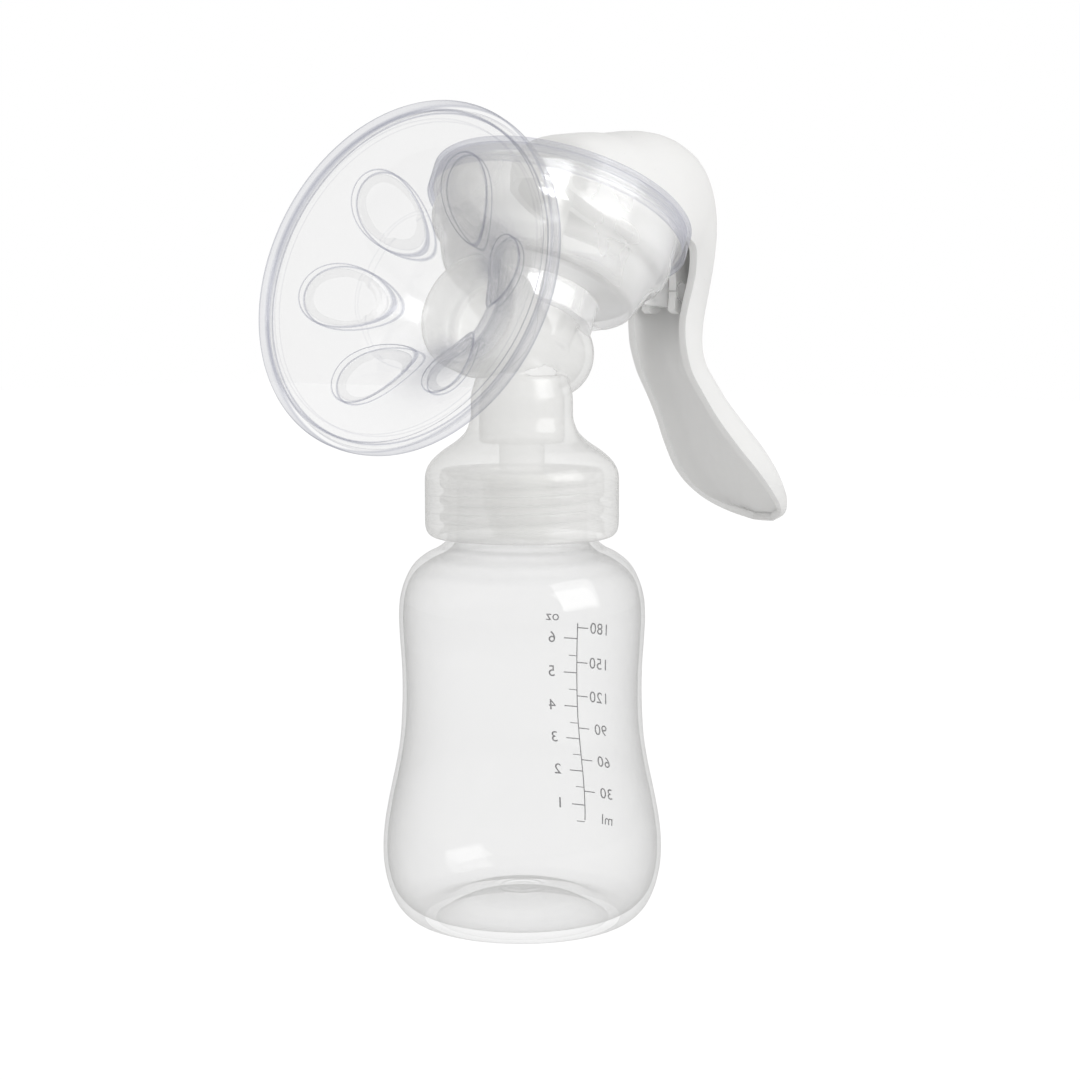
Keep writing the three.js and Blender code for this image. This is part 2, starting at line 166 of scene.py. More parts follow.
def shine_on(*pieces):
    """A small front softbox that only shows as a reflection in the cup and its diaphragm."""
    lamp = softbox("cup_softbox", 34, 36, 0.60, (0.22, 0.30), 2.6)
    lamp.visible_diffuse = False
    lit = bpy.data.collections.new("lit_by_cup_softbox")
    for piece in pieces:
        lit.objects.link(piece)
    lamp.light_linking.receiver_collection = lit


def make_floor(paint):
    half = 3.0
    corners = [(-half, -half, 0), (half, -half, 0), (half, half, 0), (-half, half, 0)]
    floor = mesh_piece("floor", corners, [(0, 1, 2, 3)], paint)


# ---- mesh helpers ----------------------------------------------------------------------
def mesh_piece(name, points, faces, paint, place=None):
    mesh = bpy.data.meshes.new(name)
    mesh.from_pydata([tuple(p) for p in points], [], faces)
    made = bpy.data.objects.new(name, mesh)
    SETTINGS.collection.objects.link(made)
    if place is not None:
        mesh.transform(place)
    if paint is not None:
        mesh.materials.append(paint)
    return made


def repaint(made, paint):
    made.data.materials.clear()
    made.data.materials.append(paint)


def weld(made, distance=1e-7):
    """Joins points in the same place, and turns every face outwards."""
    work = bmesh.new()
    work.from_mesh(made.data)
    bmesh.ops.remove_doubles(work, verts=work.verts, dist=distance)
    bmesh.ops.dissolve_degenerate(work, dist=distance, edges=work.edges)
    bmesh.ops.recalc_face_normals(work, faces=work.faces)
    work.to_mesh(made.data)
    work.free()
    return made


def shade(made, crease=35.0):
    """Smooth shading, with edges sharper than the crease angle kept crisp."""
    made.data.shade_smooth()
    made.data.set_sharp_from_angle(angle=math.radians(crease))
    return made


def modified(made, kind, **values):
    """Applies one modifier to the object's mesh."""
    modifier = made.modifiers.new(kind.lower(), kind)
    for key, value in values.items():
        setattr(modifier, key, value)
    graph = bpy.context.evaluated_depsgraph_get()
    result = bpy.data.meshes.new_from_object(made.evaluated_get(graph))
    made.modifiers.clear()
    made.data = result
    return made


def cut(made, tool, operation="DIFFERENCE"):
    """Joins or cuts two closed solids. The tool is used up."""
    modified(made, "BOOLEAN", object=tool, operation=operation, solver="EXACT")
    bpy.data.objects.remove(tool)
    return made


def softened(made, voxel, rounds):
    """Remeshes a joined solid so that its inner corners flow together as in a moulding."""
    modified(made, "REMESH", mode="VOXEL", voxel_size=voxel * MM)
    return modified(made, "SMOOTH", factor=0.5, iterations=rounds)


def rounded(corners, radius=0.4, steps=4):
    """A closed outline with an arc at each corner; corners on the axis stay sharp."""
    points = [np.array(c, float) for c in corners]
    line = []
    count = len(points)
    for i, here in enumerate(points):
        before = points[i - 1] - here
        after = points[(i + 1) % count] - here
        reach = min(radius, 0.45 * np.linalg.norm(before), 0.45 * np.linalg.norm(after))
        if here[0] < 1e-9 or reach < 0.02:
            line.append(tuple(here))
            continue
        start = here + before / np.linalg.norm(before) * reach
        end = here + after / np.linalg.norm(after) * reach
        for k in range(steps + 1):
            t = k / steps
            line.append(tuple((1 - t) ** 2 * start + 2 * t * (1 - t) * here + t * t * end))
    return line


def spline(points, per=6):
    """A smooth open line through every point, with tangents set by the spacing."""
    points = np.array(points, float)
    gaps = np.linalg.norm(np.diff(points, axis=0), axis=1)
    slopes = np.diff(points, axis=0) / gaps[:, None]
    tangents = np.vstack([slopes[:1], np.zeros((len(points) - 2, points.shape[1])), slopes[-1:]])
    share = (gaps[1:] / (gaps[1:] + gaps[:-1]))[:, None]
    tangents[1:-1] = share * slopes[:-1] + (1 - share) * slopes[1:]
    line = []
    for i, gap in enumerate(gaps):
        for k in range(per):
            t = k / per
            ahead = 3 * t * t - 2 * t ** 3
            leave = (t ** 3 - 2 * t * t + t) * gap
            arrive = (t ** 3 - t * t) * gap
            line.append((2 * t ** 3 - 3 * t * t + 1) * points[i] + leave * tangents[i]
                        + ahead * points[i + 1] + arrive * tangents[i + 1])
    line.append(points[-1])
    return [tuple(p) for p in line]


def turned(name, profile, place=IN_FRAME, paint=None, segments=ROUND, bump=None):
    """A solid of revolution. The profile is a closed outline, or runs from axis to axis.
    bump(angle, r, z) gives a change of radius."""
    profile = np.array(profile, float)
    whole = profile[0, 0] > 1e-9 or profile[-1, 0] > 1e-9
    rows = len(profile)
    angle = np.arange(segments) / segments * 2 * math.pi
    r, a = np.meshgrid(profile[:, 0], angle, indexing="ij")
    z = np.repeat(profile[:, 1][:, None], segments, axis=1)
    if bump is not None:
        r = r + bump(a, r, z)
    points = np.stack([r * np.cos(a), r * np.sin(a), z], axis=-1).reshape(-1, 3)
    faces = []
    for i in range(rows if whole else rows - 1):
        low = i * segments
        high = (i + 1) % rows * segments
        for j in range(segments):
            k = (j + 1) % segments
            faces.append((low + j, low + k, high + k, high + j))
    return shade(weld(mesh_piece(name, points, faces, paint, place)))


def tube_rod(name, radius, low, high, place, paint=None, segments=SMALL, ease=0.3):
    """A plain rod along its place's z, with eased ends."""
    outline = rounded([(0, low), (radius, low), (radius, high), (0, high)], ease)
    return turned(name, outline, place, paint, segments)


def grid_loft(name, rings, paint, place=IN_FRAME, closed=True):
    """A skin through rings of equally many points, with its two ends filled."""
    count = len(rings[0])
    points = [p for ring in rings for p in ring]
    faces = []
    for i in range(len(rings) - 1):
        for j in range(count if closed else count - 1):
            a = i * count + j
            b = i * count + (j + 1) % count
            faces.append((a, b, b + count, a + count))
    if closed:
        faces.append(tuple(range(count)))
        faces.append(tuple((len(rings) - 1) * count + j for j in reversed(range(count))))
    return weld(mesh_piece(name, points, faces, paint, place))


def plate(name, outline, half, place=IN_FRAME, paint=None):
    """A plate standing in the plane of symmetry, from x = -half to half."""
    count = len(outline)
    points = [(-half, y, z) for y, z in outline] + [(half, y, z) for y, z in outline]
    faces = [tuple(range(count)), tuple(reversed(range(count, 2 * count)))]
    faces += [(i, (i + 1) % count, count + (i + 1) % count, count + i) for i in range(count)]
    return weld(mesh_piece(name, points, faces, paint, place))


def across(y, z):
    """A place whose z runs along x, through a point of the plane of symmetry."""
    return IN_FRAME @ Matrix.Translation((0, y, z)) @ Matrix.Rotation(math.radians(90), 4, "Y")


def cup_point(y, z):
    """The place in the y-z plane of a point given in the cup's own frame."""
    c = math.cos(math.radians(CUP_TILT))
    s = math.sin(math.radians(CUP_TILT))
    return y * c + z * s, CUP_Z - y * s + z * c


def settle(piece, body, slot, *nodes):
    """Says what a finished piece rides on, and hides the CAD nodes that it stands for; slot, its finish, is
    not used.
    """
    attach(piece, body)
    if nodes:
        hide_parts(*nodes)
    return piece


# ---- materials --------------------------------------------------------------------------
class Paint:
    """A node material under construction."""

    def __init__(self, name):
        self.material = bpy.data.materials.new(name)
        self.material.use_nodes = True
        self.nodes = self.material.node_tree.nodes
        self.links = self.material.node_tree.links
        self.nodes.clear()
        self.place = self.nodes.new("ShaderNodeTexCoord").outputs["Object"]

    def node(self, kind, **inputs):
        made = self.nodes.new("ShaderNode" + kind)
        for key, value in inputs.items():
            socket = made.inputs[key.replace("_", " ")]
            if isinstance(value, bpy.types.NodeSocket):
                self.links.new(value, socket)
            else:
                socket.default_value = value
        return made

    def noise(self, scale, detail=3.0, stretch=(1, 1, 1)):
        spread = self.node("Mapping", Vector=self.place)
        spread.inputs["Scale"].default_value = stretch
        return self.node("TexNoise", Vector=spread.outputs[0], Scale=scale, Detail=detail).outputs["Fac"]

    def ramp(self, value, low, high, out_low, out_high):
        made = self.node("MapRange", Value=value)
        made.clamp = True
        for key, number in zip(("From Min", "From Max", "To Min", "To Max"), (low, high, out_low, out_high)):
            made.inputs[key].default_value = number
        return made.outputs[0]

    def far(self, x, y):
        """Distance from the axis x = y = 0."""
        squares = [self.free_maths("MULTIPLY", side, side) for side in (x, y)]
        return self.free_maths("SQRT", self.free_maths("ADD", *squares))

    def colour(self, factor, first, second):
        made = self.node("Mix")
        made.data_type = "RGBA"
        self.links.new(factor, made.inputs["Factor"])
        made.inputs["A"].default_value = (*first, 1)
        made.inputs["B"].default_value = (*second, 1)
        return made.outputs["Result"]

    def maths(self, operation, first, second):
        made = self.nodes.new("ShaderNodeMath")
        made.operation = operation
        made.use_clamp = True
        for socket, value in zip(made.inputs, (first, second)):
            if isinstance(value, bpy.types.NodeSocket):
                self.links.new(value, socket)
            else:
                socket.default_value = value
        return made.outputs[0]

    def free_maths(self, operation, first, second=0.0):
        made = self.maths(operation, first, second)
        made.node.use_clamp = False
        return made

    def band(self, value, middle, half):
        """1 at the middle value, falling to 0 half a band away on either side."""
        away = self.free_maths("ABSOLUTE", self.free_maths("SUBTRACT", value, middle))
        return self.ramp(away, 0.0, half, 1.0, 0.0)

    def bump(self, height, strength, distance):
        return self.node("Bump", Height=height, Strength=strength, Distance=distance).outputs[0]

    def mix(self, factor, first, second):
        made = self.nodes.new("ShaderNodeMixShader")
        if isinstance(factor, bpy.types.NodeSocket):
            self.links.new(factor, made.inputs[0])
        else:
            made.inputs[0].default_value = factor
        self.links.new(first, made.inputs[1])
        self.links.new(second, made.inputs[2])
        return made.outputs[0]

    def finish(self, shader):
        out = self.nodes.new("ShaderNodeOutputMaterial")
        self.links.new(shader, out.inputs["Surface"])
        return self.material


def see_through(name, clear, edge, body, milk, edge_milk, rough, gloss=1.45, narrow=2.4, lines=None,
                relief=0.00006):
    """Clear or milky plastic: light passes straight through, tinted more at the edges, with some
    milky body and a glossy skin on top. It doesn't shade what is inside it.
    clear and edge tint the light that passes face on and edge on; body is the milk's colour; milk
    and edge_milk say how much of it there is; narrow keeps the edge thin; lines adds painted shade lines."""
    paint = Paint(name)
    flow = paint.noise(38.0, 3.0, (1, 1, 0.35))
    fine = paint.noise(420.0, 2.0)
    normal = paint.bump(fine, 0.25, relief)
    slope = paint.node("LayerWeight", Blend=0.5).outputs["Facing"]
    rim = paint.maths("POWER", slope, narrow)
    if lines is not None:
        rim = paint.maths("ADD", rim, lines(paint))
    tint = paint.colour(rim, clear, edge)
    through = paint.node("BsdfTransparent", Color=tint).outputs[0]
    cloud = paint.ramp(flow, 0.3, 0.7, milk * 0.85, milk * 1.15)
    cover = paint.maths("ADD", cloud, paint.maths("MULTIPLY", rim, edge_milk))
    shade_of = paint.colour(paint.ramp(flow, 0.25, 0.75, 0, 1), tuple(c * 0.97 for c in body), body)
    solid = paint.node("BsdfPrincipled", Base_Color=shade_of, Roughness=rough, Normal=normal).outputs[0]
    inner = paint.mix(cover, through, solid)
    skin = paint.node("BsdfAnisotropic", Color=(1, 1, 1, 1), Roughness=rough * 0.5, Normal=normal).outputs[0]
    head_on = ((gloss - 1) / (gloss + 1)) ** 2
    glance = paint.maths("POWER", slope, 5.0)
    shine = paint.maths("ADD", paint.maths("MULTIPLY", glance, 0.6), head_on)
    seen = paint.mix(shine, inner, skin)
    open_air = paint.node("BsdfTransparent", Color=(1, 1, 1, 1)).outputs[0]
    path = paint.node("LightPath")
    lit = paint.mix(path.outputs["Is Diffuse Ray"], seen, open_air)
    return paint.finish(paint.mix(path.outputs["Is Shadow Ray"], lit, open_air))


HORN_SPOT = "horn_spot"  # where each point of the cushion lies in the horn's frame, in millimetres
# Painted shade lines, which stand in for the shade that light bent in the clear walls gives at edges and
# bends: where the middle of each lies, half its width, and how strong it is.
# Painted shade lines round the cushion's rolled rim and its inner step, by radius from the horn axis.
RIM_SHADE_LINES = ((36.7, 0.35, 1.0), (38.9, 0.30, 0.8), (34.9, 0.25, 0.25), (18.2, 0.22, 0.12))
# Painted shade rings on the bottle: the main band at the top of the shoulder, then more by height.
SHOULDER_TOP_SHADE = (87.2, 0.6)
SHOULDER_SHADE_LINES = ((85.2, 0.9, 0.35), (82.2, 1.4, 0.22), (3.0, 1.6, 0.15))
# Painted shade lines of the thread on the collar's outer wall.
THREAD_SHADE_LINES = ((0.22, 0.07, 1.0), (0.68, 0.06, 0.7))  # in parts of a pitch
NECK_FROM = 89.0
# The height band over which the collar carries its painted thread shade lines.
THREAD_SHADE_SPAN = (97.1, 6.4)  # where the collar shows its thread: middle height, half its range


def weighted(paint, total, value, bands):
    """Adds to a total one band for each middle, half width and weight."""
    for middle, half, weight in bands:
        total = paint.maths("ADD", total, paint.maths("MULTIPLY", paint.band(value, middle, half), weight))
    return total


def cushion_lines(paint):
    """Crisp painted shade lines round each petal's moulded edge and along the rolled rim, from 0 to 1."""
    spot = paint.nodes.new("ShaderNodeAttribute")
    spot.attribute_name = HORN_SPOT
    x, y, _ = paint.node("SeparateXYZ", Vector=spot.outputs["Vector"]).outputs
    far = paint.far(x, y)
    sector = 2 * math.pi / PETALS
    turn = paint.free_maths("ARCTAN2", x, y)
    turn = paint.free_maths("ADD", turn, math.radians(PETAL_TURN) + sector / 2 + 2 * math.pi)
    turn = paint.free_maths("SUBTRACT", paint.free_maths("MODULO", turn, sector), sector / 2)
    side = paint.free_maths("MULTIPLY", far, paint.free_maths("SINE", turn))
    out = paint.free_maths("MULTIPLY", far, paint.free_maths("COSINE", turn))
    out = paint.free_maths("SUBTRACT", out, PETAL_R)
    oval = paint.far(paint.free_maths("DIVIDE", side, PETAL_HALF),
                     paint.free_maths("DIVIDE", out, PETAL_REACH))
    return weighted(paint, paint.band(oval, 1.0, 0.04), far, RIM_SHADE_LINES)


def bottle_lines(paint):
    """Painted shade rings where the bottle's shoulder turns up into its neck, from 0 to 1. It is -1 on the
    neck, which has no dark edges, because the collar's wall shows painted thread shade instead."""
    height = paint.node("SeparateXYZ", Vector=paint.place).outputs["Z"]
    height = paint.free_maths("DIVIDE", height, MM)
    rings = weighted(paint, paint.band(height, *SHOULDER_TOP_SHADE), height, SHOULDER_SHADE_LINES)
    on_neck = paint.ramp(height, NECK_FROM, NECK_FROM + 1.0, 0.0, 1.0)
    return paint.free_maths("SUBTRACT", paint.maths("MULTIPLY", rings, 0.6), on_neck)


def collar_lines(paint):
    """Painted shade lines for the screw thread as it shows through the collar's milky wall, from 0 to 1. It
    is -1 in the collar's bore, which has no dark edges."""
    place = paint.node("VectorMath", Vector=paint.place)
    place.operation = "SCALE"
    place.inputs["Scale"].default_value = 1 / MM
    x, y, z = paint.node("SeparateXYZ", Vector=place.outputs[0]).outputs
    y = paint.free_maths("SUBTRACT", y, BOTTLE_AXIS_Y / MM)
    turn = paint.free_maths("DIVIDE", paint.free_maths("ARCTAN2", y, x), 2 * math.pi)
    rise = paint.free_maths("SUBTRACT", paint.free_maths("DIVIDE", z, PITCH), turn)
    phase = paint.free_maths("FRACT", paint.free_maths("ADD", rise, 8.0))
    far = paint.far(x, y)
    on_wall = paint.ramp(far, COLLAR_R - 0.8, COLLAR_R - 0.4, 0.0, 1.0)
    in_height = paint.maths("POWER", paint.band(z, *THREAD_SHADE_SPAN), 0.35)
    where = paint.maths("MULTIPLY", on_wall, paint.maths("MULTIPLY", in_height, 0.5))
    lines = paint.maths("MULTIPLY", weighted(paint, 0.0, phase, THREAD_SHADE_LINES), where)
    inside = paint.ramp(far, COLLAR_BORE + 1.6, COLLAR_BORE + 1.9, 1.0, 0.0)
    below_roof = paint.ramp(z, ROOF_Z - 1.1, ROOF_Z - 0.1, 1.0, 0.0)
    return paint.free_maths("SUBTRACT", lines, paint.maths("MULTIPLY", inside, below_roof))


def opaque(name, colour, rough, coat, scatter=0.0, relief=0.00008):
    """Solid moulded plastic with faint flow clouds and a fine moulded grain."""
    paint = Paint(name)
    flow = paint.noise(30.0, 4.0, (1, 1, 0.5))
    fine = paint.noise(900.0, 2.0)
    normal = paint.bump(fine, 0.35, relief)
    skin = paint.colour(paint.ramp(flow, 0.3, 0.7, 0, 1), tuple(c * 0.975 for c in colour), colour)
    dull = paint.ramp(fine, 0.2, 0.8, rough * 0.9, rough * 1.1)
    solid = paint.node("BsdfPrincipled", Base_Color=skin, Roughness=dull, Normal=normal)
    solid.inputs["Coat Weight"].default_value = coat
    solid.inputs["Coat Roughness"].default_value = 0.12
    solid.inputs["Subsurface Weight"].default_value = scatter
    solid.inputs["Subsurface Radius"].default_value = (0.004, 0.004, 0.004)
    solid.inputs["Subsurface Scale"].default_value = 1.0
    return paint.finish(solid.outputs[0])


def floor_paint():
    paint = Paint("studio_floor")
    grain = paint.noise(60.0)
    tone = paint.colour(grain, (0.76, 0.76, 0.76), (0.79, 0.79, 0.79))
    matt = paint.node("BsdfDiffuse", Color=tone).outputs[0]
    glow = paint.node("Emission", Color=(1, 1, 1, 1), Strength=1.08).outputs[0]
    seen = paint.node("LightPath").outputs["Is Camera Ray"]
    return paint.finish(paint.mix(paint.maths("MULTIPLY", seen, 0.92), matt, glow))


# ---- bottle --------------------------------------------------------------------------
BOTTLE_SIDE = [
    (22.8, 0), (26.2, 1.1), (28.9, 3.6), (30.9, 7.6), (32.1, 12.5), (32.4, 17.5), (32.0, 22.7), (31.2, 27.5),
    (30.2, 32.3), (29.2, 37), (28.3, 42.5), (27.9, 47.5), (27.7, 53.5), (27.8, 60), (28.2, 66), (28.4, 71),
    (28.1, 75.5), (26.9, 79.6), (25.0, 83), (22.2, 85.4), (18.9, 87.2), (17.4, 88.6), (17.0, 90.2),
]
BOTTLE_CAVITY = [
    (15, 91), (15.3, 88.2), (17.2, 86.1), (20.9, 84.0), (23.8, 81.6), (25.6, 78.9), (26.6, 75), (26.9, 71),
    (26.7, 66), (26.2, 56), (26.5, 45), (27.9, 36), (29.7, 27.5), (30.9, 17.5), (30.5, 12), (28.9, 7.2),
    (26.2, 4.2), (23.4, 2.9), (20.6, 3.1), (18.5, 3.8), (14, 5.8), (8, 7.0),
]
MOUTH_Z = 103.0
NECK_R = 17.0
NECK_BORE = 15.0
WALL_THINNED = 0.6  # a real wall looks thinner than it is, through its own refraction


def thread(angle, z, start, turns):
    """Height from 0 to 1 of a screw ridge at an angle and height."""
    lift = np.zeros_like(z)
    for turn in range(int(turns) + 2):
        along = angle / (2 * math.pi) + turn
        middle = start + PITCH * along
        inside = np.clip((THREAD_HALF - np.abs(z - middle)) / THREAD_FLANK, 0, 1)
        ends = np.clip(along * 12, 0, 1) * np.clip((turns - along) * 12, 0, 1)
        lift = np.maximum(lift, inside * ends)
    return lift


def bottle(paint):
    def neck_thread(angle, r, z):
        return np.where(np.abs(r - NECK_R) < 0.01, THREAD_RISE * thread(angle, z, THREAD_FROM, NECK_TURNS), 0)

    def thinned(r):
        return r + WALL_THINNED * min(1.0, max(0.0, (r - 18) / 6))

    side = spline(BOTTLE_SIDE)
    neck = [(NECK_R, z) for z in np.arange(90.4, 102.2, 0.18)]
    lip = [(NECK_R, MOUTH_Z - 0.6), (NECK_R - 0.2, MOUTH_Z - 0.15), (NECK_R - 0.6, MOUTH_Z),
           (NECK_BORE + 0.6, MOUTH_Z), (NECK_BORE + 0.15, MOUTH_Z - 0.15), (NECK_BORE, MOUTH_Z - 0.6)]
    cavity = spline([(thinned(r), z) for r, z in BOTTLE_CAVITY])
    gate = [(7.4, 7.05), (7.0, 7.3), (6.6, 7.3), (6.2, 7.05), (5.2, 7.1), (4.8, 7.45), (4.2, 7.45),
            (3.8, 7.15), (0, 7.2)]
    under = spline([(0, 5.2), (6, 4.95), (12.5, 4.0), (17.2, 1.8), (19.4, 0.4)])
    foot = [(20.2, 0.0), (21.5, 0.0)]
    profile = under + foot + side + neck + lip + cavity + gate
    made = turned("bottle_shell", profile, paint=paint, bump=neck_thread)
    return settle(made, "bottle", "clear_pp", "bottle")


# ---- printed scale on the bottle's back --------------------------------------------------
PRINT_LINE = 8.0  # the scale's line, degrees round from the back
PRINT_LIFT = 0.03
PRINT_THICK = 0.04
LINE_HALF = 0.13
DIGITS = 2.8  # height of the figures
ML_AT = -6.5  # middle of each column of figures, sideways from the scale's line
OZ_AT = 6.6
MILLILITRES = [(180, 64.5), (150, 56.0), (120, 47.7), (90, 39.6), (60, 31.4), (30, 23.2)]
OUNCES = [(6, 61.8), (5, 53.4), (4, 45.0), (3, 36.8), (2, 28.4), (1, 19.6)]


def bottle_radius(z):
    heights = [p[1] for p in BOTTLE_SIDE]
    radii = [p[0] for p in BOTTLE_SIDE]
    return np.interp(z, heights, radii)


def on_bottle(points):
    """Wraps flat print points (across, up, out) round the back of the bottle."""
    wrapped = []
    for sideways, up, out in points:
        radius = float(bottle_radius(up)) + PRINT_LIFT + out
        angle = math.radians(PRINT_LINE) + sideways / radius
        wrapped.append((-radius * math.sin(angle), radius * math.cos(angle), up))
    return wrapped


def print_bar(points, faces, left, low, right, high):
    """A thin flat bar of ink, in short steps so that it follows the bottle."""
    steps = max(1, int(max(right - left, high - low) / 1.0))
    tall = high - low > right - left
    for i in range(steps):
        a, b = i / steps, (i + 1) / steps
        if tall:
            box = (left, low + a * (high - low), right, low + b * (high - low))
        else:
            box = (left + a * (right - left), low, left + b * (right - left), high)
        base = len(points)
        for out in (0.0, PRINT_THICK):
            points += [(box[0], box[1], out), (box[2], box[1], out), (box[2], box[3], out),
                       (box[0], box[3], out)]
        faces += [tuple(base + k for k in quad) for quad in (
            (0, 3, 2, 1), (4, 5, 6, 7), (0, 1, 5, 4), (1, 2, 6, 5), (2, 3, 7, 6), (3, 0, 4, 7))]


def print_text(points, faces, words, middle, up, height):
    """One label, centred on a point of the print."""
    data = bpy.data.curves.new("label", "FONT")
    data.body = words
    data.size = height * 1.38
    data.align_x = "CENTER"
    data.align_y = "CENTER"
    data.extrude = PRINT_THICK / 2
    data.space_character = 1.06
    label = bpy.data.objects.new("label", data)
    SETTINGS.collection.objects.link(label)
    graph = bpy.context.evaluated_depsgraph_get()
    mesh = bpy.data.meshes.new_from_object(label.evaluated_get(graph))
    base = len(points)
    points += [(v.co.x + middle, v.co.y + up, v.co.z + PRINT_THICK / 2) for v in mesh.vertices]
    faces += [tuple(base + k for k in p.vertices) for p in mesh.polygons]
    bpy.data.objects.remove(label)


def printed_scale(paint):
    points = []
    faces = []
    print_bar(points, faces, -LINE_HALF, 15.8, LINE_HALF, 65.6)
    for number, up in MILLILITRES:
        print_bar(points, faces, -3.0, up - LINE_HALF, 0, up + LINE_HALF)
        print_text(points, faces, str(number), ML_AT, up, DIGITS)
    for number, up in OUNCES:
        print_bar(points, faces, 0, up - LINE_HALF, 3.5, up + LINE_HALF)
        print_bar(points, faces, 0, up - 4.3, 2.2, up - 4.1)
        print_text(points, faces, str(number), OZ_AT, up, DIGITS)
    print_text(points, faces, "ml", ML_AT, 16.6, 2.6)
    print_text(points, faces, "oz", OZ_AT, 67.0, 2.5)
    made = mesh_piece("printed_scale", on_bottle(points), faces, paint, IN_FRAME)
    return settle(made, "bottle", "milky_pp")


# ---- pump body: collar, neck, horn tube and cup stub in one moulding ----------------------
COLLAR_R = 22.3
COLLAR_BORE = 18.9
COLLAR_FOOT = 89.4
ROOF_Z = 105.1
NECK_OUT = 11.7  # radius of the moulding's own neck
TUBE_BORE = 8.6
STUB_R = 11.3
SEAL_GROOVE_R = 9.5
SPIGOT_R = 7.2
SPIGOT_BORE = 5.2


def domed(radius):
    """The rounded end of the horn tube, from its axis to its side."""
    return [(0, -DOME_BACK - radius)] + [
        (radius * math.sin(a), -DOME_BACK - radius * math.cos(a)) for a in np.radians(np.arange(6, 91, 6))]


def pump_body(paint):
    def bore_thread(angle, r, z):
        ridge = thread((angle + math.pi) % (2 * math.pi), z, THREAD_FROM, BORE_TURNS)
        return np.where(np.abs(r - COLLAR_BORE) < 0.01, -THREAD_RISE * ridge, 0)

    shell = turned("pump_body_shell", rounded([
        (0, COLLAR_FOOT), (20.6, COLLAR_FOOT), (21.9, 90.5), (COLLAR_R, 92.2), (COLLAR_R, 103.6),
        (21.8, 105.4), (20.6, 107.2), (18.2, 109.3), (15.0, 111.4), (12.8, 113.5), (NECK_OUT, 116.6),
        (NECK_OUT, 122), (10.4, 126.5), (0, 127)], 0.9))
    tube = turned("tube", domed(TUBE_R) + rounded([
        (TUBE_R, 9.6), (12.6, 11.6), (SOCKET_R, 13.0), (SOCKET_R, 21), (0, 21)], 0.5)[1:], IN_HORN)
    stub = turned("stub", rounded([
        (0, 0), (STUB_R, 0), (STUB_R, 13.7), (SEAL_GROOVE_R, 13.7), (SEAL_GROOVE_R, 16.3), (STUB_R, 16.3),
        (STUB_R, 17.4), (0, 17.4)], 0.3), IN_CUP)
    cut(shell, tube, "UNION")
    cut(shell, stub, "UNION")
    socket = [(TUBE_BORE, 12.5), (11.9, 12.5), (11.9, 26), (0, 26)]
    cut(shell, turned("bore", domed(TUBE_BORE) + socket, IN_HORN))
    cut(shell, turned("bore", [(0, 2), (7.6, 2), (7.6, 9), (8.6, 10), (8.6, 23), (0, 23)], IN_CUP))
    cut(shell, turned("bore", [(0, 111), (9.8, 111), (9.8, 121), (8.4, 126), (8.4, 130), (0, 130)]))
    rows = [(COLLAR_BORE, z) for z in np.arange(89.9, 103.6, 0.2)]
    skirt = [(0, 88), (19.6, 88), (19.4, 89.3)] + rows + [(18.6, 104.6), (18.2, ROOF_Z), (0, ROOF_Z)]
    cut(shell, turned("bore", skirt, bump=bore_thread))
    cut(shell, tube_rod("spigot", SPIGOT_R, 98.2, 111.5, IN_FRAME), "UNION")
    cut(shell, tube_rod("bore", SPIGOT_BORE, 90, 118, IN_FRAME))
    softened(shell, 0.42, 6)
    repaint(shell, paint)
    return settle(shade(shell, 60), "pump_head", "milky_pp", "pump_body")


def bottle_gasket(paint):
    outline = rounded([(13.2, 103.3), (17.2, 103.3), (17.2, 104.8), (13.2, 104.8)], 0.35)
    made = turned("bottle_gasket_ring", outline, paint=paint)
    return settle(made, "pump_head", "milky_silicone", "bottle_gasket")


def duckbill_valve(paint):
    def ring(half, width, z):
        angles = np.arange(SMALL) / SMALL * 2 * math.pi
        return [(half * math.cos(a), width * math.sin(a), z) for a in angles]

    outside = np.array(spline([(8.9, 8.9, 98.8), (8.9, 8.9, 97.6), (8.6, 5.4, 93), (8.2, 1.5, 88.8)], 8))
    inside = np.array(spline([(7.5, 7.5, 99.4), (7.4, 7.4, 97.4), (7.2, 4.1, 93), (6.8, 0.35, 88)], 8))
    beak = grid_loft("duckbill", [ring(*row) for row in outside], None)
    collar = rounded([(7.5, 98.2), (8.9, 98.2), (8.9, 101.8), (9.7, 102.2), (9.7, 103.6), (7.5, 103.6)], 0.25)
    sleeve = turned("sleeve", collar, segments=SMALL)
    cut(beak, sleeve, "UNION")
    cut(beak, grid_loft("hollow", [ring(*row) for row in inside], None))
    cut(beak, turned("hollow", [(0, 97.6), (7.5, 97.6), (7.5, 100), (0, 100)], segments=SMALL))
    repaint(beak, paint)
    return settle(shade(beak, 40), "pump_head", "milky_silicone", "duckbill_valve")


# ---- horn and massage cushion ------------------------------------------------------------
def horn(paint):
    outline = spline([
        (11.6, 21.2), (12.4, 23.2), (13.9, 25.6), (18, 31), (24.2, 36.6), (31.2, 40.4), (36.4, 42.0)])
    outline += rounded([(37.2, 42.25), (37.6, 42.6), (37.6, 43.4), (37.0, 43.45)], 0.2)
    outline += spline([
        (36.2, 43.3), (30.6, 41.7), (23.4, 37.8), (17.1, 32.1), (12.6, 26.0), (10.9, 22.3), (10.1, 19)])
    outline += rounded([(10.1, 16), (10.1, 12.9), (11.6, 12.9), (11.6, 17)], 0.4)[1:-1]
    made = turned("horn_funnel", outline, IN_HORN, paint)
    return settle(made, "horn", "clear_pp", "horn")


